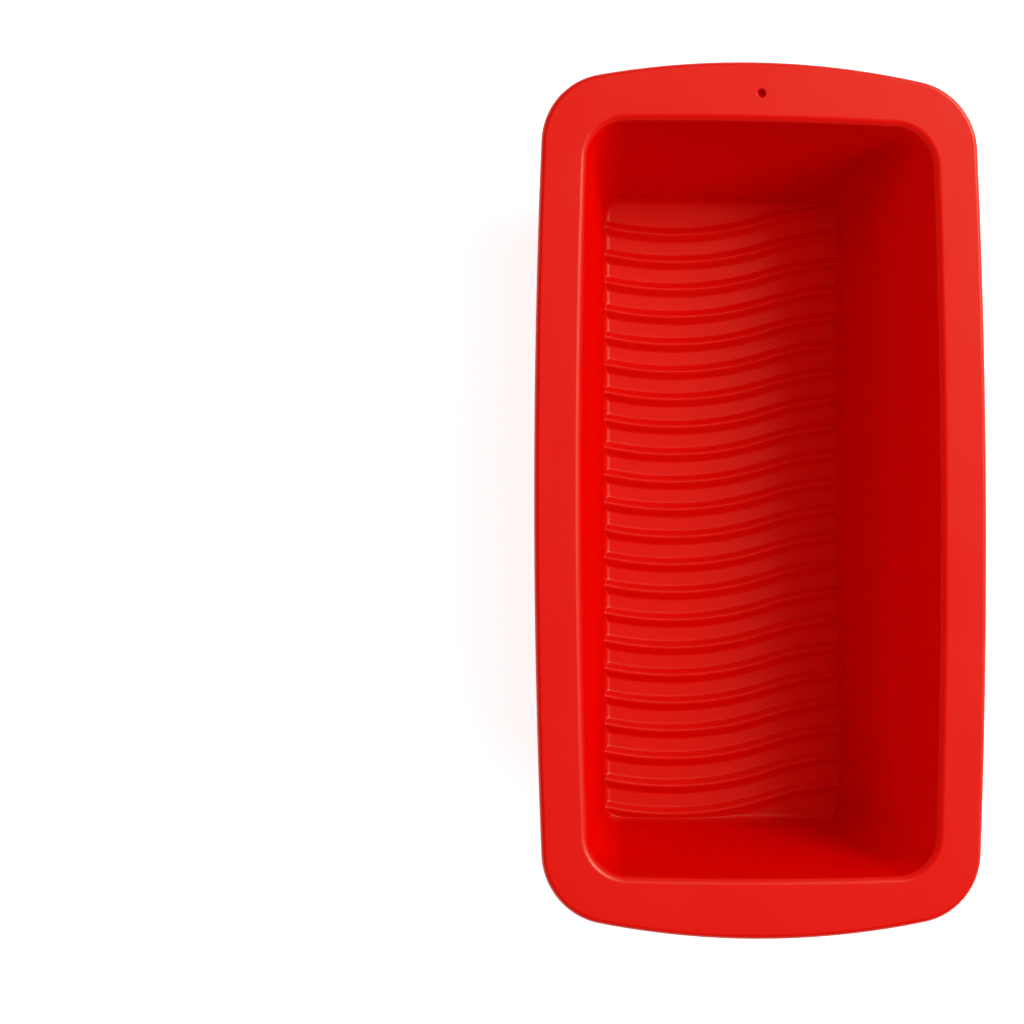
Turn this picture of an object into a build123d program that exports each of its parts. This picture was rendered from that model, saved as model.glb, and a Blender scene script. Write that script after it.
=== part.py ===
# Silicone loaf pan: one moulding with a broad flat rim, drafted walls and raised wavy ridges on its floor.
# The origin is the centre of the base, on the surface that the pan stands on. +X is across the pan, +Y is
# along it towards the end with the pin hole, and +Z is up. Every length is in millimetres.
from build123d import *
import os
from math import asin, atan, cos, degrees, hypot, radians, sin

os.makedirs("parts", exist_ok=True)

# Overall size, over the rim
length = 270.0
width = 142.0
height = 65.0

# Rim: a flat flange whose long edges and ends bow outwards
rim_thickness = 3.0
rim_side_radius = 2640.0
rim_end_radius = 264.0
rim_corner_radius = 22.0
rim_edge_chamfer = 0.8

# Mouth: how far inside the rim's edge the inner walls would meet its top, if they met there sharply
rim_side_width = 14.2
rim_end_width = 18.2
mouth_side_radius = 2940.0
mouth_end_radius = 1430.0
mouth_corner_radius = 12.5
mouth_round = 2.5

# Floor of the cavity: how far its walls lean out from their foot to the mouth, and its corners
side_run = 19.2
end_run = 18.3
floor_corner_radius = 5.4
floor_round = 2.0

# Silicone thickness, and the rounded edges of the outside
wall_thickness = 2.2
floor_thickness = 2.2
base_round = 3.6
under_rim_chamfer = 1.2

# Ridges: each crosses the floor as a dip and then a rise, two arcs that are tangent where they meet
ridge_count = 22
ridge_pitch = 8.8
ridge_width = 4.5
ridge_height = 1.4
ridge_crest_radius = 1.0
crest_flats = 3
dip_radius = 105.0
dip_from_centre = 17.0
rise_radius = 95.0
turn_from_centre = 15.0

# Pin hole: a small blind hole in the rim at the middle of one end
pin_hole_diameter = 2.5
pin_hole_depth = 2.2
pin_hole_from_end = 9.75
pin_hole_chamfer = 0.3

# How far the ends of a ridge are sunk in the walls and its root in the floor, and how far it runs untrimmed
ridge_seat = 1.0
ridge_root = 1.1
overrun = 1.2

# Heights of the bands at the foot and head of each wall that have one even draft, so that their edges round
# cleanly, and the parts that each corner's arc is divided in between these bands, which keeps it light
foot_band = 3.0
mouth_band = 3.0
base_band = 4.0
collar_band = 4.0
corner_parts = 4

mouth_length = length - 2 * rim_end_width
mouth_width = width - 2 * rim_side_width
floor_length = mouth_length - 2 * end_run
floor_width = mouth_width - 2 * side_run
cavity_depth = height - floor_thickness
side_slope = side_run / cavity_depth
end_slope = end_run / cavity_depth
side_gap = wall_thickness * hypot(1, side_slope)
end_gap = wall_thickness * hypot(1, end_slope)
band_draft = degrees(atan((side_slope + end_slope) / 2))


def bowed_outline(across, along, side_radius, end_radius, corner_radius):
    """A rectangle with rounded corners, whose four sides are shallow arcs"""
    side_centre = side_radius - across / 2
    end_centre = end_radius - along / 2
    outline = Pos(-side_centre, 0) * Circle(side_radius)
    outline &= Pos(side_centre, 0) * Circle(side_radius)
    outline &= Pos(0, -end_centre) * Circle(end_radius)
    outline &= Pos(0, end_centre) * Circle(end_radius)
    return fillet(outline.vertices(), corner_radius)


def divided(outline):
    """The same outline, with its four corner arcs divided in equal parts"""
    edges = outline.edges().sort_by(SortBy.LENGTH)
    parts = edges[4:]
    for corner in edges[:4]:
        parts += [corner.trim(n / corner_parts, (n + 1) / corner_parts) for n in range(corner_parts)]
    return Face(Wire(parts))


def band(outline, z, rise):
    """A low solid on an outline, or under it where the rise is negative, that widens evenly upwards"""
    upright = extrude(Pos(0, 0, z) * outline, rise)
    return draft(upright.faces().filter_by(Plane.XY, reverse=True), Plane.XY.offset(z), -band_draft)


def drafted(low, low_z, low_band, high, high_z, high_band):
    """The solid whose walls join two outlines at two heights, straight-ruled between a band at each end"""
    foot = band(low, low_z, low_band)
    head = band(high, high_z, -high_band)
    ends = [divided(foot.faces().sort_by(Axis.Z)[-1]), divided(head.faces().sort_by(Axis.Z)[0])]
    return foot + loft(ends, ruled=True) + head


def shell():
    """The outside of the bowl, solid, with its base edge rounded"""
    base_width = floor_width + 2 * (side_gap - floor_thickness * side_slope)
    base_length = floor_length + 2 * (end_gap - floor_thickness * end_slope)
    base = RectangleRounded(base_width, base_length, floor_corner_radius + side_gap)
    top = bowed_outline(
        mouth_width + 2 * side_gap,
        mouth_length + 2 * end_gap,
        mouth_side_radius + side_gap,
        mouth_end_radius + end_gap,
        mouth_corner_radius + side_gap,
    )
    bowl = drafted(base, 0, base_band, top, height, rim_thickness + collar_band)
    return fillet(bowl.faces().sort_by(Axis.Z)[0].edges(), base_round)


def rim():
    """The flange, with its outer edge chamfered above and below"""
    outline = bowed_outline(width, length, rim_side_radius, rim_end_radius, rim_corner_radius)
    flange = extrude(Pos(0, 0, height - rim_thickness) * outline, rim_thickness)
    ends = flange.faces().sort_by(Axis.Z)
    return chamfer(ends[0].edges() + ends[-1].edges(), rim_edge_chamfer)


def ridge_path():
    """The line of one ridge along the floor, from left to right, with the bottom of its dip at y = 0"""
    reach = floor_width / 2 + overrun
    dip_centre = Vector(-dip_from_centre, dip_radius, floor_thickness)
    before = degrees(asin((reach - dip_from_centre) / dip_radius))
    turn = degrees(asin((turn_from_centre + dip_from_centre) / dip_radius))
    dip = CenterArc(dip_centre, dip_radius, -90 - before, before + turn)
    to_turn = Vector(sin(radians(turn)), -cos(radians(turn)))
    rise_centre = dip_centre + to_turn * (dip_radius + rise_radius)
    after = degrees(asin((reach - rise_centre.X) / rise_radius))
    rise = CenterArc(rise_centre, rise_radius, 90 + turn, -turn - after)
    return Wire([dip.edge(), rise.edge()])


def ridge_section(plane):
    """The section of a ridge: a crest of short flats between two flanks, on a root sunk in the floor"""
    half = ridge_width / 2
    crest_z = ridge_height - ridge_crest_radius
    slope = degrees(asin(ridge_crest_radius / hypot(half, crest_z)) + atan(crest_z / half))
    with BuildSketch(plane) as section:
        with BuildLine():
            crest = CenterArc((0, crest_z), ridge_crest_radius, 90 - slope, 2 * slope, mode=Mode.PRIVATE)
            points = [crest @ (n / crest_flats) for n in range(crest_flats + 1)]
            foot = [(-half, 0), (-half, -ridge_root), (half, -ridge_root), (half, 0)]
            Polyline(*points, *foot, close=True)
        make_face()
    return section.sketch


def ridges():
    """All the ridges, from the first rise to the last dip, with their ends trimmed just inside the walls"""
    path = ridge_path()
    rise_height = (path @ 1).Y
    start = Plane(origin=path @ 0, x_dir=Vector(0, 0, 1).cross(path % 0), z_dir=path % 0)
    ridge = sweep(ridge_section(start), path=path)
    first = ridge_pitch * (ridge_count - 1) / 2 - rise_height / 2
    seats = RectangleRounded(
        floor_width + 2 * ridge_seat, floor_length + 2 * ridge_seat, floor_corner_radius + ridge_seat
    )
    trim = extrude(seats, height)
    pieces = []
    for n in range(ridge_count):
        pieces += (Pos(0, first - n * ridge_pitch, 0) * ridge & trim).solids()
    return pieces


def cavity():
    """The space that the loaf fills, with the foot of its walls rounded"""
    mouth = bowed_outline(
        mouth_width, mouth_length, mouth_side_radius, mouth_end_radius, mouth_corner_radius
    )
    floor = RectangleRounded(floor_width, floor_length, floor_corner_radius)
    space = drafted(floor, floor_thickness, foot_band, mouth, height, mouth_band)
    return fillet(space.faces().sort_by(Axis.Z)[0].edges(), floor_round)


def pin_hole():
    """The blind hole's drill, which stands in the rim"""
    place = Pos(0, length / 2 - pin_hole_from_end, height - pin_hole_depth)
    return place * extrude(Circle(pin_hole_diameter / 2), pin_hole_depth)


def top_loop(body, near_y):
    """The edges of the loop in the rim's top face that lies nearest to a point along the pan"""
    top = body.faces().filter_by(Plane.XY).sort_by(Axis.Z)[-1]
    return top.inner_wires().sort_by(lambda w: abs(w.center().Y - near_y))[0].edges()


def loaf_pan():
    """The whole moulding"""
    body = shell() + rim()
    underside = body.faces().filter_by(Plane.XY).sort_by(
        lambda face: abs(face.center().Z - (height - rim_thickness))
    )[0]
    body = chamfer(underside.inner_wires()[0].edges(), under_rim_chamfer)
    body -= cavity()
    body = fillet(top_loop(body, 0), mouth_round)
    body -= pin_hole()
    body = chamfer(top_loop(body, length / 2), pin_hole_chamfer)
    return body + ridges()


export_step(loaf_pan(), "parts/loaf_pan.step")
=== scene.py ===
"""A red silicone loaf pan with wavy ridges on its floor, seen from above on a white ground."""
from math import asin, atan2, cos, hypot, pi, radians, sin, tan

import bmesh
import bpy
import numpy as np
from mathutils import Euler, Matrix, Vector


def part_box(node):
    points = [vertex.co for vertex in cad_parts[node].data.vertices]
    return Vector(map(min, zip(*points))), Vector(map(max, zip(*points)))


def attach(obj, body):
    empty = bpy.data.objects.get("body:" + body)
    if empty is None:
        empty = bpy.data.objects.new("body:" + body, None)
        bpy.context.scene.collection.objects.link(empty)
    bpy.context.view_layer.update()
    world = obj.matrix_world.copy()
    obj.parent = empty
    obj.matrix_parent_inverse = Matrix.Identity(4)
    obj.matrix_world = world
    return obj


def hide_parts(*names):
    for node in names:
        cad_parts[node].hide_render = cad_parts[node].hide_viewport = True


bl_info = {
    "name": "Silicone Loaf Pan",
    "version": (1, 0, 0),
    "blender": (4, 5, 0),
    "location": "3D View > Sidebar > Loaf Pan",
    "description": "Moulds a silicone loaf pan and sets the stage it is shown on",
    "category": "Add Mesh",
}

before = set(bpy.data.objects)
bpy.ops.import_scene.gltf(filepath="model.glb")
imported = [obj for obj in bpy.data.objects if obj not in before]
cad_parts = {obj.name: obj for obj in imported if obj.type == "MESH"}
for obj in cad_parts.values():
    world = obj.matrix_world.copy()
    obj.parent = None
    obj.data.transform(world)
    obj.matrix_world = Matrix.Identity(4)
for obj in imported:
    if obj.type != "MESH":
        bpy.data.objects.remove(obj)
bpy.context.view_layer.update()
pan_low, pan_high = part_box("loaf_pan")

PAN = "loaf_pan_silicone"
SILICONE = "silicone rubber, compression moulded"
WHITE = (1, 1, 1, 1)

# Where a straight edge is drawn by the same rule as a bowed one, it is an arc of this radius
STRAIGHT = 1000.0

# How finely the moulding is divided: the rings in a round of the bowl and in a round of the rim, the columns
# of the floor's grid in each margin and between the two, and its rows from one ridge to the next
BOWL_RINGS = 8
RIM_RINGS = 7
MARGIN_COLUMNS = 9
MIDDLE_COLUMNS = 40
RIDGE_ROWS = 26

# The floor's last row is at least this share of a row from the one before it, and over this length its rows
# turn from the ridges' line to straight
LAST_ROW = 0.6
ROWS_TURN = 0.014

# The pin hole's drill: its sides, the rings of its rounded tip, and the tip's radius as a share of the
# diameter
DRILL_SIDES = 48
TIP_RINGS = 6
TIP_ROUND = 0.15


def millimetres(name, description, value):
    """A length property, given in millimetres and kept in metres"""
    return bpy.props.FloatProperty(
        name=name, description=description, default=value / 1000, min=0, unit="LENGTH", precision=5
    )


def linear(code):
    """The scene-linear colour of an sRGB hex value"""
    levels = [int(code[n:n + 2], 16) / 255 for n in (0, 2, 4)]
    return tuple(c / 12.92 if c <= 0.04045 else ((c + 0.055) / 1.055) ** 2.4 for c in levels)


def colour(name, description, code):
    """A colour property, given as an sRGB hex value"""
    return bpy.props.FloatVectorProperty(
        name=name, description=description, default=linear(code), min=0, max=1, size=3, subtype="COLOR"
    )


class PanSizes(bpy.types.PropertyGroup):
    """The moulding's sizes"""

    length: millimetres("Length", "Over the rim, along the pan", 1000 * (pan_high[1] - pan_low[1]))
    width: millimetres("Width", "Over the rim, across the pan", 1000 * (pan_high[0] - pan_low[0]))
    height: millimetres("Height", "From the base to the top of the rim", 1000 * (pan_high[2] - pan_low[2]))
    rim_thickness: millimetres("Rim thickness", "Thickness of the flat flange", 3.0)
    rim_side_bow: millimetres("Rim side bow", "Radius of the rim's long edges", 2640)
    rim_end_bow: millimetres("Rim end bow", "Radius of the rim's short edges", 264)
    rim_corner: millimetres("Rim corner", "Radius of the rim's corners", 22.0)
    rim_edge: millimetres("Rim edge", "Rounding of the rim's edge, above and below", 1.4)
    mouth_length: millimetres("Mouth length", "Where the walls would meet the rim if sharp", 233.6)
    mouth_width: millimetres("Mouth width", "Where the walls would meet the rim if sharp", 113.6)
    mouth_side_bow: millimetres("Mouth side bow", "Radius of the mouth's long edges", 2940)
    mouth_end_bow: millimetres("Mouth end bow", "Radius of the mouth's short edges", 1430)
    mouth_corner: millimetres("Mouth corner", "Radius of the mouth's corners", 12.5)
    mouth_round: millimetres("Mouth round", "Rounding from the rim down into the walls", 2.5)
    floor_length: millimetres("Floor length", "Between the feet of the end walls", 197.0)
    floor_width: millimetres("Floor width", "Between the feet of the side walls", 75.2)
    floor_corner: millimetres("Floor corner", "Radius of the floor's corners", 5.4)
    floor_round: millimetres("Floor round", "Rounding from the floor up into the walls", 2.0)
    wall: millimetres("Wall thickness", "Thickness of the walls", 2.2)
    floor: millimetres("Floor thickness", "Thickness of the floor", 2.2)
    base_round: millimetres("Base round", "Rounding of the base edge outside", 3.6)
    under_rim_round: millimetres("Under-rim round", "Rounding from the outer wall into the rim", 2.0)


class RidgeSizes(bpy.types.PropertyGroup):
    """The sizes of the wavy ridges on the floor"""

    count: bpy.props.IntProperty(name="Count", description="Ridges along the floor", default=22, min=1)
    pitch: millimetres("Pitch", "From one ridge to the next", 8.8)
    width: millimetres("Width", "Of a ridge at its foot", 4.5)
    height: millimetres("Height", "Of a ridge's crest over the floor", 1.4)
    crest: millimetres("Crest radius", "Rounding of a ridge's crest", 1.0)
    blend: millimetres("Blend", "Softness of a ridge's foot and ends", 0.2)
    dip_bow: millimetres("Dip radius", "Radius of the dip in a ridge's line", 105.0)
    dip_place: millimetres("Dip place", "From the middle of the floor to the bottom of the dip", 17.0)
    rise_bow: millimetres("Rise radius", "Radius of the rise in a ridge's line", 95.0)
    turn_place: millimetres("Turn place", "From the middle of the floor to where dip turns to rise", 15.0)


class PinHoleSizes(bpy.types.PropertyGroup):
    """The sizes of the small blind hole in the rim"""

    diameter: millimetres("Diameter", "Of the hole", 2.5)
    depth: millimetres("Depth", "Of the hole", 2.2)
    from_end: millimetres("From the end", "From the rim's end to the middle of the hole", 9.75)
    edge: millimetres("Edge", "Rounding of the hole's edge", 0.4)


class Finishes(bpy.types.PropertyGroup):
    """The colours of the silicone and of the stage"""

    silicone: colour("Silicone", "Pigmented through and through", "ce0300")
    sheen: colour("Sheen", "Tint of the light that the skin throws back", "ffedcb")
    ground: colour("Ground", "The white ground", "d0d0d0")


def fading(places, low, high):
    """A smooth change from 0 at low to 1 at high"""
    share = np.clip((places - low) / (high - low), 0, 1)
    return share * share * (3 - 2 * share)


def rise_centre(ridges):
    """The centre of the rise's arc, when the bottom of the dip is at y = 0"""
    turn = asin((ridges.turn_place + ridges.dip_place) / ridges.dip_bow)
    reach = ridges.dip_bow + ridges.rise_bow
    return sin(turn) * reach - ridges.dip_place, ridges.dip_bow - cos(turn) * reach


def line_height(ridges, x):
    """How far a ridge's line has risen at each x"""
    rise_x, rise_y = rise_centre(ridges)
    dip = ridges.dip_bow - np.sqrt(ridges.dip_bow ** 2 - (x + ridges.dip_place) ** 2)
    rise = rise_y + np.sqrt(ridges.rise_bow ** 2 - (x - rise_x) ** 2)
    return np.where(x < ridges.turn_place, dip, rise)


def outline(marks, width, length, side_bow, end_bow, corner):
    """Points and outward directions at the marks of a rounded rectangle whose four sides are arcs"""
    place, across, along = marks
    # A corner's arc touches the arcs of its two sides, so its centre is where two circles about theirs cross
    side_centre = np.array((width / 2 - side_bow, 0.0))
    end_centre = np.array((0.0, length / 2 - end_bow))
    between = end_centre - side_centre
    apart = hypot(*between)
    between /= apart
    to_side = side_bow - corner
    to_end = end_bow - corner
    forward = (to_side ** 2 - to_end ** 2 + apart ** 2) / (2 * apart)
    aside = (to_side ** 2 - forward ** 2) ** 0.5
    corner_centre = side_centre + forward * between + aside * np.array((-between[1], between[0]))
    side_turn = atan2(*(corner_centre - side_centre)[::-1])
    end_turn = atan2(*(corner_centre - end_centre)[::-1])
    turns = (0, side_turn, end_turn, pi / 2)
    angle = np.interp(place, (0, 1, 2, 3), turns)[:, None]
    part = np.minimum(place.astype(int), 2)
    centre = np.array((side_centre, corner_centre, end_centre))[part]
    radius = np.array((side_bow, corner, end_bow))[part][:, None]
    outward = np.hstack((np.cos(angle), np.sin(angle)))
    signs = np.stack((across, along), axis=1)
    return (centre + radius * outward) * signs, outward * signs


def arc(radius, first, last, steps):
    """Distances outward and up along an arc between two angles"""
    angles = np.linspace(first, last, steps)
    return radius * np.cos(angles), radius * np.sin(angles)


def cell_steps(half, margin, fine, coarse):
    """Places from -half to half, close together in both margins"""
    edge = np.linspace(half - margin, half, fine + 1)
    middle = np.linspace(margin - half, half - margin, coarse + 1)
    return np.concatenate((-edge[::-1], middle[1:-1], edge))


def into_corner(x, y, half_width, half_length, corner):
    """How far points reach into the square at their corner of the floor, across and along, from 0 to 1"""
    across = np.clip((np.abs(x) - half_width + corner) / corner, 0, 1)
    along = np.clip((np.abs(y) - half_length + corner) / corner, 0, 1)
    return across, along


def floor_grid(sizes, ridges, half_width, half_length, corner):
    """The flat floor's grid, whose rows follow the ridges and whose rim is a rounded rectangle"""
    columns = cell_steps(half_width, corner, MARGIN_COLUMNS, MIDDLE_COLUMNS)
    step = ridges.pitch / RIDGE_ROWS
    count = int(half_length / step - LAST_ROW)
    rows = np.concatenate(([-half_length], step * np.arange(-count, count + 1), [half_length]))
    x, y = np.meshgrid(columns, rows)
    top = line_height(ridges, np.array(sizes.floor_width / 2))
    follows = 1 - fading(np.abs(y), half_length - ROWS_TURN, half_length)
    y = y + follows * (line_height(ridges, x) - top / 2)
    # The square at each corner becomes a quarter of a disc
    a, b = into_corner(x, y, half_width, half_length, corner)
    inside = (a > 0) & (b > 0)
    round_x = half_width - corner + corner * a * np.sqrt(1 - b * b / 2)
    round_y = half_length - corner + corner * b * np.sqrt(1 - a * a / 2)
    marked = (x.copy(), y.copy())
    x = np.where(inside, np.sign(x) * round_x, x)
    y = np.where(inside, np.sign(y) * round_y, y)
    return x, y, marked


def rim_of(grid):
    """The values round the edge of a grid, anticlockwise from its lowest corner"""
    return np.concatenate((grid[0, :-1], grid[:-1, -1], grid[-1, :0:-1], grid[:0:-1, 0]))


def ring_marks(marked, half_width, half_length, corner):
    """Where each point round the floor's grid lies on any outline: 0 to 1 along a side, to 2 round a corner,
    to 3 along an end, with its sign across and along"""
    x, y = (rim_of(values) for values in marked)
    side_share = np.abs(y) / (half_length - corner)
    end_share = 3 - np.abs(x) / (half_width - corner)
    a, b = into_corner(x, y, half_width, half_length, corner)
    turned = 1 + np.arctan2(b * np.sqrt(1 - a * a / 2), a * np.sqrt(1 - b * b / 2)) / (pi / 2)
    in_corner = (a > 0) & (b > 0)
    on_side = a >= 1
    place = np.where(in_corner, turned, np.where(on_side, side_share, end_share))
    return place, np.where(x < 0, -1.0, 1.0), np.where(y < 0, -1.0, 1.0)


def rounded(points, outward, z, radius, slope, concave, steps):
    """Rings of points round an edge where a wall that leans out by slope meets a level face.
    The edge is concave at the cavity's floor and under the rim, and convex at the mouth and base."""
    lean = np.arctan(slope)
    tangent = radius * np.tan((pi / 2 - lean) / 2)
    rings = []
    for share in np.linspace(0, 1, steps):
        turn = share * (pi / 2 - lean)
        out = radius * np.sin(turn) - tangent
        up = radius * (1 - np.cos(turn))
        rings.append((points + (concave * out)[:, None] * outward, z + concave * up))
    return rings


def halfway(low, high):
    """The ring halfway along the straight wall between two rings"""
    return low[0] + 0.5 * (high[0] - low[0]), low[1] + 0.5 * (high[1] - low[1])


def ringed_mesh(name, x, y, floor_height, rings):
    """A closed mesh: the floor's grid, the rings round it in order, and the level base. The first ring is the
    grid's own edge, and the rings up to the head of the floor's round are marked as near the floor."""
    rows, columns = x.shape
    level = np.full(x.size, floor_height)
    points = [np.column_stack((x.ravel(), y.ravel(), level))]
    for ring, z in rings[1:]:
        points.append(np.column_stack((ring, z)))
    points = np.vstack(points)
    index = np.arange(x.size).reshape(rows, columns)
    first = rim_of(index)
    points[first, :2] = rings[0][0]
    cells = [index[:-1, :-1], index[:-1, 1:], index[1:, 1:], index[1:, :-1]]
    faces = np.stack([c.ravel() for c in cells], axis=1).tolist()
    count = len(first)
    loops = [first]
    for n in range(len(rings) - 1):
        loops.append(x.size + n * count + np.arange(count))
    for inner, outside in zip(loops, loops[1:]):
        quads = (inner, outside, np.roll(outside, -1), np.roll(inner, -1))
        faces += np.stack(quads, axis=1).tolist()
    # The base is in strips from one corner to the opposite one, with no slivers along its straight sides
    base = loops[-1].tolist()
    half = count // 2
    faces.append([base[1], base[0], base[-1]])
    for n in range(1, half - 1):
        faces.append([base[n + 1], base[n], base[-n], base[-n - 1]])
    faces.append([base[half], base[half - 1], base[half + 1]])
    mesh = bpy.data.meshes.new(name)
    mesh.from_pydata(points.tolist(), [], faces)
    near_floor = mesh.attributes.new("near_floor", "BOOLEAN", "POINT")
    raised = x.size + (BOWL_RINGS - 1) * count
    near_floor.data.foreach_set("value", np.arange(len(points)) < raised)
    mesh.polygons.foreach_set("use_smooth", np.ones(len(faces), dtype=bool))
    return mesh


class LOAFPAN_OT_moulding(bpy.types.Operator):
    """Makes the pan's rim, walls and floor as one closed mesh"""

    bl_idname = "loafpan.moulding"
    bl_label = "Mould the pan"

    def execute(self, context):
        sizes = context.scene.loafpan_sizes
        ridges = context.scene.loafpan_ridges

        # The flat floor's grid ends where the round at the foot of the walls begins
        depth = sizes.height - sizes.floor
        side_slope = (sizes.mouth_width - sizes.floor_width) / 2 / depth
        end_slope = (sizes.mouth_length - sizes.floor_length) / 2 / depth
        inset = sizes.floor_round * tan((pi / 2 - atan2(side_slope, 1)) / 2)
        corner = sizes.floor_corner - inset
        half_width = sizes.floor_width / 2 - inset
        half_length = sizes.floor_length / 2 - inset
        x, y, marked = floor_grid(sizes, ridges, half_width, half_length, corner)
        marks = ring_marks(marked, half_width, half_length, corner)

        # The outlines: the foot and head of the cavity's walls, the rim's edge, and the foot and head of the
        # outside
        foot, foot_out = outline(
            marks, sizes.floor_width, sizes.floor_length, STRAIGHT, STRAIGHT, sizes.floor_corner
        )
        mouth, mouth_out = outline(
            marks, sizes.mouth_width, sizes.mouth_length,
            sizes.mouth_side_bow, sizes.mouth_end_bow, sizes.mouth_corner,
        )
        edge, edge_out = outline(
            marks, sizes.width, sizes.length, sizes.rim_side_bow, sizes.rim_end_bow, sizes.rim_corner
        )
        side_gap = sizes.wall * hypot(1, side_slope)
        end_gap = sizes.wall * hypot(1, end_slope)
        base, base_out = outline(
            marks,
            sizes.floor_width + 2 * (side_gap - sizes.floor * side_slope),
            sizes.floor_length + 2 * (end_gap - sizes.floor * end_slope),
            STRAIGHT, STRAIGHT, sizes.floor_corner + side_gap,
        )
        outer, outer_out = outline(
            marks, sizes.mouth_width + 2 * side_gap, sizes.mouth_length + 2 * end_gap,
            sizes.mouth_side_bow, sizes.mouth_end_bow, sizes.mouth_corner + side_gap,
        )
        under = sizes.height - sizes.rim_thickness
        collar = base + under / sizes.height * (outer - base)

        # How far each point's wall leans out as it rises, for the rounds at its ends
        inner_slope = np.sum((mouth - foot) * foot_out, axis=1) / depth
        mouth_slope = np.sum((mouth - foot) * mouth_out, axis=1) / depth
        outer_slope = np.sum((outer - base) * base_out, axis=1) / sizes.height
        collar_slope = np.sum((outer - base) * outer_out, axis=1) / sizes.height

        # The rings run from the floor up the cavity, over the rim's edge and down the outside
        level = np.zeros(len(foot))
        rings = rounded(foot, foot_out, level + sizes.floor, sizes.floor_round, inner_slope, 1, BOWL_RINGS)
        lip = rounded(
            mouth, mouth_out, level + sizes.height, sizes.mouth_round, mouth_slope, -1, BOWL_RINGS
        )[::-1]
        rings += [halfway(rings[-1], lip[0])] + lip
        turns = (
            (sizes.height - sizes.rim_edge, pi / 2, 0),
            (under + sizes.rim_edge, 0, -pi / 2),
        )
        for middle, first, last in turns:
            for out, up in zip(*arc(sizes.rim_edge, first, last, RIM_RINGS)):
                rings.append((edge + (out - sizes.rim_edge) * edge_out, level + middle + up))
        tuck = rounded(
            collar, outer_out, level + under, sizes.under_rim_round, collar_slope, -1, RIM_RINGS
        )
        heel = rounded(base, base_out, level, sizes.base_round, outer_slope, 1, BOWL_RINGS)[::-1]
        rings += tuck + [halfway(tuck[-1], heel[0])] + heel

        mesh = ringed_mesh(PAN, x, y, sizes.floor, rings)
        pan = bpy.data.objects.new(PAN, mesh)
        context.scene.collection.objects.link(pan)
        return {"FINISHED"}


def add(tree, kind, inputs=(), **settings):
    """Adds a node with its settings, and links or sets its inputs"""
    made = tree.nodes.new(kind)
    for name, value in settings.items():
        setattr(made, name, value)
    for name, value in dict(inputs).items():
        if isinstance(value, bpy.types.Node):
            value = value.outputs[0]
        if isinstance(value, bpy.types.NodeSocket):
            tree.links.new(value, made.inputs[name])
        else:
            made.inputs[name].default_value = value
    return made


def make_plain(context, piece):
    """Gives a piece the mesh that its modifiers make, and removes them"""
    context.view_layer.update()
    result = piece.evaluated_get(context.evaluated_depsgraph_get())
    mesh = bpy.data.meshes.new_from_object(result)
    old = piece.data
    piece.modifiers.clear()
    piece.data = mesh
    bpy.data.meshes.remove(old)


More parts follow.
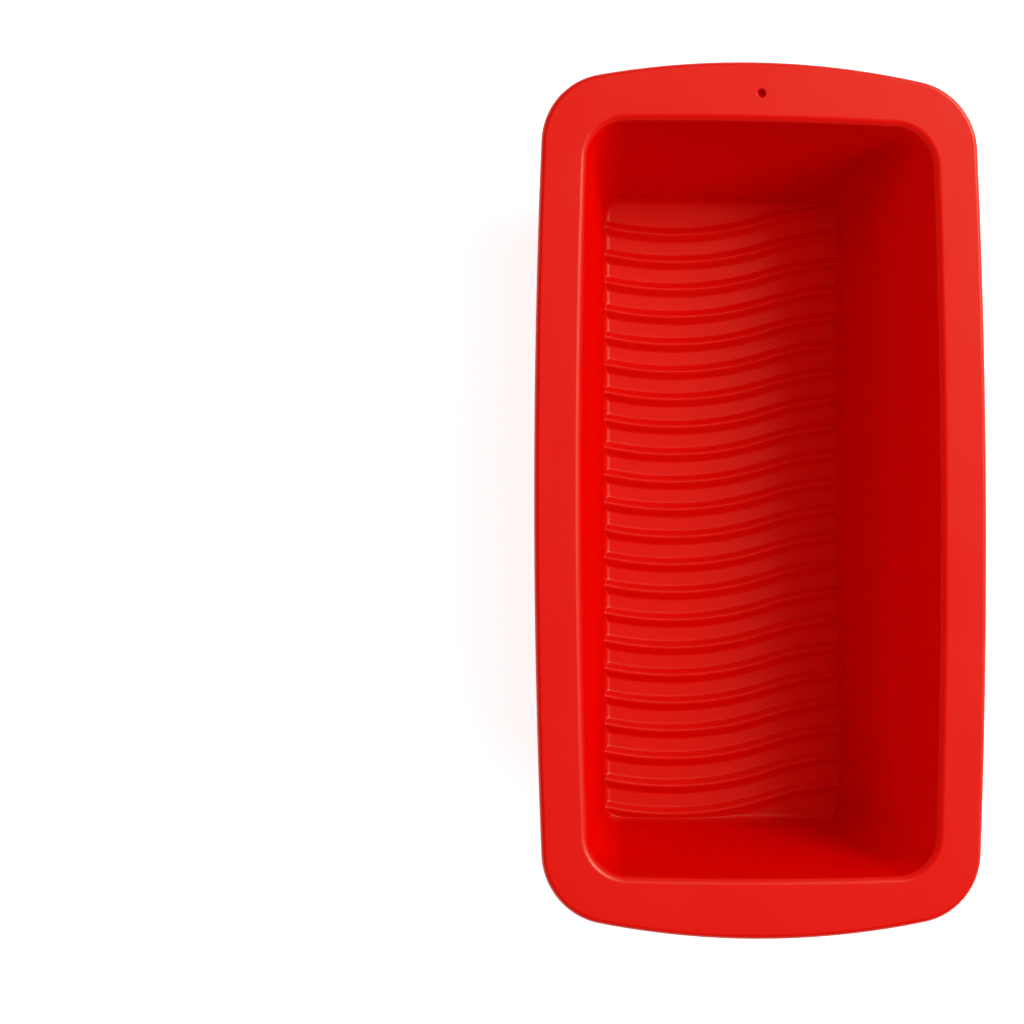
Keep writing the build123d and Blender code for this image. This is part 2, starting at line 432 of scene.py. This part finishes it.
class LOAFPAN_OT_ridges(bpy.types.Operator):
    """Raises the wavy ridges out of the floor"""

    bl_idname = "loafpan.ridges"
    bl_label = "Raise the ridges"

    def execute(self, context):
        sizes = context.scene.loafpan_sizes
        ridges = context.scene.loafpan_ridges
        pan = bpy.data.objects[PAN]
        tree = bpy.data.node_groups.new("wavy ridges", "GeometryNodeTree")
        tree.interface.new_socket("Geometry", in_out="INPUT", socket_type="NodeSocketGeometry")
        rise_x, rise_y = rise_centre(ridges)
        top = float(line_height(ridges, np.array(sizes.floor_width / 2)))
        crest_centre = ridges.height - ridges.crest
        half = ridges.width / 2
        steepness = asin(ridges.crest / hypot(half, crest_centre)) + atan2(crest_centre, half)
        values = {
            "Floor height": sizes.floor,
            "Last ridge": ridges.count - 1,
            "First line": ridges.pitch * (ridges.count - 1) / 2 - top / 2,
            "Pitch": ridges.pitch,
            "Half width": half,
            "Crest radius": ridges.crest,
            "Crest centre height": crest_centre,
            "Flank from": ridges.crest * sin(steepness),
            "Flank slope": tan(steepness),
            "Blend": ridges.blend,
            "Dip radius": ridges.dip_bow,
            "Dip place": -ridges.dip_place,
            "Rise radius": ridges.rise_bow,
            "Rise place": rise_x,
            "Rise centre": rise_y,
            "Turn place": ridges.turn_place,
        }
        keys = {}
        for name in values:
            made = tree.interface.new_socket(name, in_out="INPUT", socket_type="NodeSocketFloat")
            keys[name] = made.identifier
        silicone = tree.interface.new_socket("Material", in_out="INPUT", socket_type="NodeSocketMaterial")
        tree.interface.new_socket("Geometry", in_out="OUTPUT", socket_type="NodeSocketGeometry")
        given = add(tree, "NodeGroupInput").outputs
        math = "ShaderNodeMath"
        place = add(tree, "ShaderNodeSeparateXYZ", {0: add(tree, "GeometryNodeInputPosition")}).outputs

        # A ridge's line is a dip and then a rise, and each is an arc: how far along the pan the line is from
        # the arc's centre, and what share of a step along the pan goes straight across the ridge
        reaches, leans = [], []
        for radius, centre in (("Dip radius", "Dip place"), ("Rise radius", "Rise place")):
            aside = add(tree, math, {0: place["X"], 1: given[centre]}, operation="SUBTRACT")
            aside = add(tree, math, {0: aside, 1: 2.0}, operation="POWER")
            square = add(tree, math, {0: given[radius], 1: 2.0}, operation="POWER")
            reach = add(tree, math, {0: square, 1: aside}, operation="SUBTRACT")
            reach = add(tree, math, {0: reach}, operation="SQRT")
            reaches.append(reach)
            leans.append(add(tree, math, {0: reach, 1: given[radius]}, operation="DIVIDE"))
        dip = add(tree, math, {0: given["Dip radius"], 1: reaches[0]}, operation="SUBTRACT")
        rise = add(tree, math, {0: given["Rise centre"], 1: reaches[1]}, operation="ADD")
        rises = add(tree, math, {0: place["X"], 1: given["Turn place"]}, operation="GREATER_THAN")
        line = add(tree, "ShaderNodeMix", {"Factor": rises, "A": dip, "B": rise}, data_type="FLOAT")
        lean = add(
            tree, "ShaderNodeMix", {"Factor": rises, "A": leans[0], "B": leans[1]}, data_type="FLOAT"
        )

        # Which ridge is nearest, and how far away its line is
        steps = add(tree, math, {0: place["Y"], 1: line}, operation="SUBTRACT")
        steps = add(tree, math, {0: given["First line"], 1: steps}, operation="SUBTRACT")
        steps = add(tree, math, {0: steps, 1: given["Pitch"]}, operation="DIVIDE")
        nearest = add(tree, math, {0: steps}, operation="ROUND")
        nearest = add(tree, math, {0: nearest, 1: 0.0}, operation="MAXIMUM")
        nearest = add(tree, math, {0: nearest, 1: given["Last ridge"]}, operation="MINIMUM")
        off = add(tree, math, {0: steps, 1: nearest}, operation="SUBTRACT")
        off = add(tree, math, {0: off, 1: given["Pitch"]}, operation="MULTIPLY")
        off = add(tree, math, {0: off, 1: lean}, operation="MULTIPLY")
        off = add(tree, math, {0: off}, operation="ABSOLUTE")

        # A round crest between two straight flanks, which go on down under the floor
        square = add(tree, math, {0: off, 1: 2.0}, operation="POWER")
        crest = add(tree, math, {0: given["Crest radius"], 1: 2.0}, operation="POWER")
        crest = add(tree, math, {0: crest, 1: square}, operation="SUBTRACT")
        crest = add(tree, math, {0: crest, 1: 0.0}, operation="MAXIMUM")
        crest = add(tree, math, {0: crest}, operation="SQRT")
        crest = add(tree, math, {0: given["Crest centre height"], 1: crest}, operation="ADD")
        flank = add(tree, math, {0: given["Half width"], 1: off}, operation="SUBTRACT")
        flank = add(tree, math, {0: flank, 1: given["Flank slope"]}, operation="MULTIPLY")
        on_flank = add(tree, math, {0: off, 1: given["Flank from"]}, operation="GREATER_THAN")
        ridge = add(tree, "ShaderNodeMix", {"Factor": on_flank, "A": crest, "B": flank}, data_type="FLOAT")
        ridge = add(tree, math, {0: ridge, 1: given["Floor height"]}, operation="ADD")

        # The higher of ridge and floor or wall, with a soft change from one to the other
        raised = add(tree, math, {0: place["Z"], 1: ridge, 2: given["Blend"]}, operation="SMOOTH_MAX")
        raised = add(tree, "ShaderNodeCombineXYZ", {"X": place["X"], "Y": place["Y"], "Z": raised})
        chosen = add(
            tree, "GeometryNodeInputNamedAttribute", {"Name": "near_floor"}, data_type="BOOLEAN"
        )
        moved = add(
            tree, "GeometryNodeSetPosition",
            {"Geometry": given["Geometry"], "Selection": chosen.outputs["Attribute"], "Position": raised},
        )
        whole = add(tree, "GeometryNodeRealizeInstances", {"Geometry": moved})
        whole = add(tree, "GeometryNodeSetMaterial", {"Geometry": whole, "Material": given["Material"]})
        add(tree, "NodeGroupOutput", {"Geometry": whole})

        rule = pan.modifiers.new("wavy ridges", "NODES")
        rule.node_group = tree
        for name, value in values.items():
            rule[keys[name]] = float(value)
        rule[silicone.identifier] = bpy.data.materials[SILICONE]
        make_plain(context, pan)
        return {"FINISHED"}


def turned_mesh(name, profile, sides):
    """A closed mesh turned about the upright axis from a profile that starts and ends on it"""
    made = bmesh.new()
    ends = [made.verts.new((0, 0, profile[0][1])), made.verts.new((0, 0, profile[-1][1]))]
    rings = []
    for radius, z in profile[1:-1]:
        turns = [2 * pi * n / sides for n in range(sides)]
        rings.append([made.verts.new((radius * cos(t), radius * sin(t), z)) for t in turns])
    for n in range(sides):
        after = (n + 1) % sides
        made.faces.new((ends[0], rings[0][after], rings[0][n]))
        for low, high in zip(rings, rings[1:]):
            made.faces.new((low[n], low[after], high[after], high[n]))
        made.faces.new((ends[1], rings[-1][n], rings[-1][after]))
    for face in made.faces:
        face.smooth = True
    bmesh.ops.recalc_face_normals(made, faces=made.faces)
    mesh = bpy.data.meshes.new(name)
    made.to_mesh(mesh)
    made.free()
    return mesh


class LOAFPAN_OT_pin_hole(bpy.types.Operator):
    """Sinks the small blind hole in the middle of one end of the rim"""

    bl_idname = "loafpan.pin_hole"
    bl_label = "Sink the pin hole"

    def execute(self, context):
        sizes = context.scene.loafpan_sizes
        hole = context.scene.loafpan_pin_hole
        pan = bpy.data.objects[PAN]
        top = sizes.height

        # The drill's profile: a rounded tip, and the rounding of the hole's edge as a shoulder
        profile = [(0.0, top - hole.depth)]
        tip = TIP_ROUND * hole.diameter
        for out, up in zip(*arc(tip, -pi / 2, 0, TIP_RINGS)):
            profile.append((hole.diameter / 2 - tip + out, top - hole.depth + tip + up))
        for out, up in zip(*arc(hole.edge, pi, pi / 2, BOWL_RINGS)):
            profile.append((hole.diameter / 2 + hole.edge + out, top - hole.edge + up))
        # The last of the shoulder is just over the rim's top, so that the cut is clean
        profile[-1] = (profile[-1][0], top + hole.edge * 0.01)
        profile.append((profile[-1][0], top + hole.edge))
        profile.append((0.0, top + hole.edge))
        drill = turned_mesh("pin_hole_drill", profile, DRILL_SIDES)
        drill.transform(Matrix.Translation((0, sizes.length / 2 - hole.from_end, 0)))
        tool = bpy.data.objects.new("pin_hole_drill", drill)
        context.scene.collection.objects.link(tool)
        cut = pan.modifiers.new("pin hole", "BOOLEAN")
        cut.object = tool
        cut.operation = "DIFFERENCE"
        cut.solver = "EXACT"
        # The cut leaves a few corners less than a thousandth of a millimetre apart
        pan.modifiers.new("weld", "WELD").merge_threshold = 0.000001
        # Large flat faces keep level normals next to the small faces of the rounds
        pan.modifiers.new("flat faces", "WEIGHTED_NORMAL")
        make_plain(context, pan)
        bpy.data.objects.remove(tool)
        middle = Vector((0, sizes.length / 2 - hole.from_end))
        sunk = [v.co for v in pan.data.vertices if v.co.z < top - hole.edge]
        if not any((place.xy - middle).length < hole.diameter for place in sunk):
            raise RuntimeError("the pin hole wasn't cut")
        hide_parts("loaf_pan")
        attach(pan, "root")
        return {"FINISHED"}


class LOAFPAN_OT_silicone(bpy.types.Operator):
    """Makes the pan's material"""

    bl_idname = "loafpan.silicone"
    bl_label = "Mix the silicone"

    def execute(self, context):
        # Silicone rubber, pigmented all through and compression moulded in a fine-blasted steel mould: a deep
        # even colour under a soft satin skin, with a faint grain and a slightly uneven sheen
        finishes = context.scene.loafpan_finishes
        material = bpy.data.materials.new(SILICONE)
        material.use_nodes = True
        tree = material.node_tree
        tree.nodes.clear()
        place = add(tree, "ShaderNodeTexCoord").outputs["Object"]
        # A fine blast leaves a grain of some 0.1 mm. It is drawn at 0.3 mm, about as fine as shows in the
        # render, and a noise rises and falls once over two grains. The sheen drifts over some 25 mm.
        grain = add(tree, "ShaderNodeTexNoise", {"Vector": place, "Scale": 1 / (2 * 0.0003), "Detail": 2.0})
        drift = add(tree, "ShaderNodeTexNoise", {"Vector": place, "Scale": 1 / 0.025, "Detail": 2.0})
        sheen = add(
            tree, "ShaderNodeMapRange",
            {"Value": drift, "From Min": 0.3, "From Max": 0.7, "To Min": 0.35, "To Max": 0.38},
        )
        # The floor with its ridges and the rim are polished over the blasting. The cavity's walls aren't, so
        # they stay matt even where they are seen from a low angle. The shine ends just over the ridges, and
        # begins again in the round of the mouth.
        height = add(tree, "ShaderNodeSeparateXYZ", {0: place}).outputs["Z"]
        floor_shine = add(
            tree, "ShaderNodeMapRange",
            {"Value": height, "From Min": 0.004, "From Max": 0.007, "To Min": 0.65, "To Max": 0.0},
        )
        rim_shine = add(
            tree, "ShaderNodeMapRange",
            {"Value": height, "From Min": 0.062, "From Max": 0.0645, "To Min": 0.0, "To Max": 1.0},
        )
        inside = add(tree, "ShaderNodeMath", {0: floor_shine, 1: rim_shine}, operation="MAXIMUM")
        # All of the outside faces a little downwards, and has an even satin
        normal = add(tree, "ShaderNodeNewGeometry").outputs["Normal"]
        upwards = add(tree, "ShaderNodeSeparateXYZ", {0: normal}).outputs["Z"]
        outside = add(
            tree, "ShaderNodeMapRange",
            {"Value": upwards, "From Min": -0.15, "From Max": 0.0, "To Min": 1.0, "To Max": 0.0},
        )
        shine = add(
            tree, "ShaderNodeMix", {"Factor": outside, "A": inside, "B": 0.15}, data_type="FLOAT"
        )
        bump = add(tree, "ShaderNodeBump", {"Height": grain, "Strength": 0.25, "Distance": 0.00005})
        silicone = add(
            tree, "ShaderNodeBsdfPrincipled",
            {
                "Base Color": (*finishes.silicone, 1),
                "Roughness": sheen,
                "IOR": 1.41,
                "Specular IOR Level": shine,
                "Specular Tint": (*finishes.sheen, 1),
                "Normal": bump,
            },
        )
        add(tree, "ShaderNodeOutputMaterial", {"Surface": silicone})
        return {"FINISHED"}


def seen_directly(tree):
    """A node that is 1 for rays from the camera, from a gloss or through glass, and 0 for rays that light"""
    ray = add(tree, "ShaderNodeLightPath").outputs
    seen = add(
        tree, "ShaderNodeMath", {0: ray["Is Camera Ray"], 1: ray["Is Glossy Ray"]}, operation="MAXIMUM"
    )
    return add(tree, "ShaderNodeMath", {0: seen, 1: ray["Is Transmission Ray"]}, operation="MAXIMUM")


def white_ground(shade):
    """The ground's material: matt white paper that takes the pan's shadow. Where it is seen directly, a glow
    brings the lit paper up to white."""
    material = bpy.data.materials.new("white paper, matt")
    material.use_nodes = True
    tree = material.node_tree
    tree.nodes.clear()
    paper = add(tree, "ShaderNodeBsdfDiffuse", {"Color": (*shade, 1)})
    glow = add(tree, "ShaderNodeEmission", {"Color": WHITE, "Strength": 0.75})
    lifted = add(tree, "ShaderNodeAddShader", {0: paper, 1: glow})
    both = add(tree, "ShaderNodeMixShader", {0: seen_directly(tree), 1: paper, 2: lifted})
    add(tree, "ShaderNodeOutputMaterial", {"Surface": both})
    return material


def soft_box(context, name, azimuth, elevation, level, size=1.1, sheen=False):
    """A square area light that faces the pan. The azimuth is from +X towards +Y, in degrees, and the level is
    how bright a white card that faces the box renders, where 1 is white."""
    distance = 3.0
    aim = Vector((0, 0, 0.03))
    lamp = bpy.data.lights.new(name, "AREA")
    lamp.size = size
    lamp.energy = (pi * distance) ** 2 * level
    box = bpy.data.objects.new(name, lamp)
    around = radians(azimuth)
    above = radians(elevation)
    towards = Vector((cos(around) * cos(above), sin(around) * cos(above), sin(above)))
    box.visible_camera = False
    # A gloss also picks up a hidden box by multiple importance sampling, so without sheen both are off
    box.visible_glossy = sheen
    lamp.cycles.use_multiple_importance_sampling = sheen
    box.location = distance * towards + aim
    box.rotation_euler = towards.to_track_quat("Z", "Y").to_euler()
    context.scene.collection.objects.link(box)


class LOAFPAN_OT_stage(bpy.types.Operator):
    """Sets the white ground, the lights and the camera"""

    bl_idname = "loafpan.stage"
    bl_label = "Set the stage"

    def execute(self, context):
        scene = context.scene
        # The ground lies just under the base, so that the two faces don't mix
        half, level = 4.0, -0.0002
        corners = [(-half, -half, level), (half, -half, level), (half, half, level), (-half, half, level)]
        ground = bpy.data.meshes.new("ground")
        ground.from_pydata(corners, [], [(0, 1, 2, 3)])
        ground.materials.append(white_ground(scene.loafpan_finishes.ground))
        stage = bpy.data.objects.new("ground", ground)
        scene.collection.objects.link(stage)

        world = bpy.data.worlds.new("studio")
        scene.world = world
        world.use_nodes = True
        tree = world.node_tree
        tree.nodes.clear()
        # The sky lights a little and evenly. The white backdrop that is seen in its place darkens to a
        # ceiling, from just over the horizon to 15 degrees up.
        towards = add(tree, "ShaderNodeTexCoord").outputs["Generated"]
        above = add(tree, "ShaderNodeSeparateXYZ", {0: towards}).outputs["Z"]
        backdrop = add(
            tree, "ShaderNodeMapRange",
            {"Value": above, "From Min": 0.02, "From Max": 0.26, "To Min": 1.0, "To Max": 0.03},
        )
        shade = add(tree, "ShaderNodeBackground", {"Color": WHITE, "Strength": 0.06})
        white = add(tree, "ShaderNodeBackground", {"Color": WHITE, "Strength": backdrop})
        both = add(tree, "ShaderNodeMixShader", {0: seen_directly(tree), 1: shade, 2: white})
        add(tree, "ShaderNodeOutputWorld", {"Surface": both})

        # The key is to the right, towards the pin hole. The other boxes fill in and give no sheen, as if
        # polarised.
        soft_box(context, "key_box", 31, 46, 0.58, sheen=True)
        soft_box(context, "low_box", 15, 26, 0.32)
        soft_box(context, "high_box", 45, 68, 0.19)
        soft_box(context, "right_box", 330, 46, 0.13)
        soft_box(context, "low_right_box", 313, 30, 0.20)
        soft_box(context, "left_box", 162, 26, 0.17)
        soft_box(context, "low_left_box", 175, 12, 0.20)
        soft_box(context, "near_left_box", 231, 34, 0.08)
        soft_box(context, "ceiling_box", 0, 90, 0.34, size=4.0)

        # From here the outlines of the rim, the mouth and the floor look as they do in the photo
        camera = bpy.data.cameras.new("camera")
        camera.sensor_width = 36.0
        camera.lens = 175.8
        camera.clip_start = 0.05
        camera.clip_end = 20.0
        view = bpy.data.objects.new("camera", camera)
        view.location = (-0.3253, -0.0906, 1.5652)
        view.rotation_euler = Euler((radians(3.22), radians(-9.36), radians(0.02)))
        scene.collection.objects.link(view)
        scene.camera = view
        scene.view_settings.view_transform = "Standard"
        return {"FINISHED"}


class LOAFPAN_PT_panel(bpy.types.Panel):
    """Lists the steps in the sidebar"""

    bl_label = "Loaf Pan"
    bl_idname = "LOAFPAN_PT_panel"
    bl_space_type = "VIEW_3D"
    bl_region_type = "UI"
    bl_category = "Loaf Pan"

    def draw(self, context):
        for step in STEPS:
            self.layout.operator(step.bl_idname)
        for group in GROUPS.values():
            values = getattr(context.scene, group)
            for name in values.bl_rna.properties.keys():
                if name not in ("rna_type", "name"):
                    self.layout.prop(values, name)


GROUPS = {
    PanSizes: "loafpan_sizes",
    RidgeSizes: "loafpan_ridges",
    PinHoleSizes: "loafpan_pin_hole",
    Finishes: "loafpan_finishes",
}
STEPS = (
    LOAFPAN_OT_silicone,
    LOAFPAN_OT_moulding,
    LOAFPAN_OT_ridges,
    LOAFPAN_OT_pin_hole,
    LOAFPAN_OT_stage,
)


def register():
    """Registers the sizes, the steps and the panel"""
    for group, name in GROUPS.items():
        bpy.utils.register_class(group)
        setattr(bpy.types.Scene, name, bpy.props.PointerProperty(type=group))
    for step in STEPS:
        bpy.utils.register_class(step)
    bpy.utils.register_class(LOAFPAN_PT_panel)


def unregister():
    """Takes them out again"""
    bpy.utils.unregister_class(LOAFPAN_PT_panel)
    for step in reversed(STEPS):
        bpy.utils.unregister_class(step)
    for group, name in GROUPS.items():
        delattr(bpy.types.Scene, name)
        bpy.utils.unregister_class(group)


def main():
    """Makes the pan and its stage"""
    register()
    bpy.ops.loafpan.silicone()
    bpy.ops.loafpan.moulding()
    bpy.ops.loafpan.ridges()
    bpy.ops.loafpan.pin_hole()
    bpy.ops.loafpan.stage()


if __name__ == "__main__":
    main()
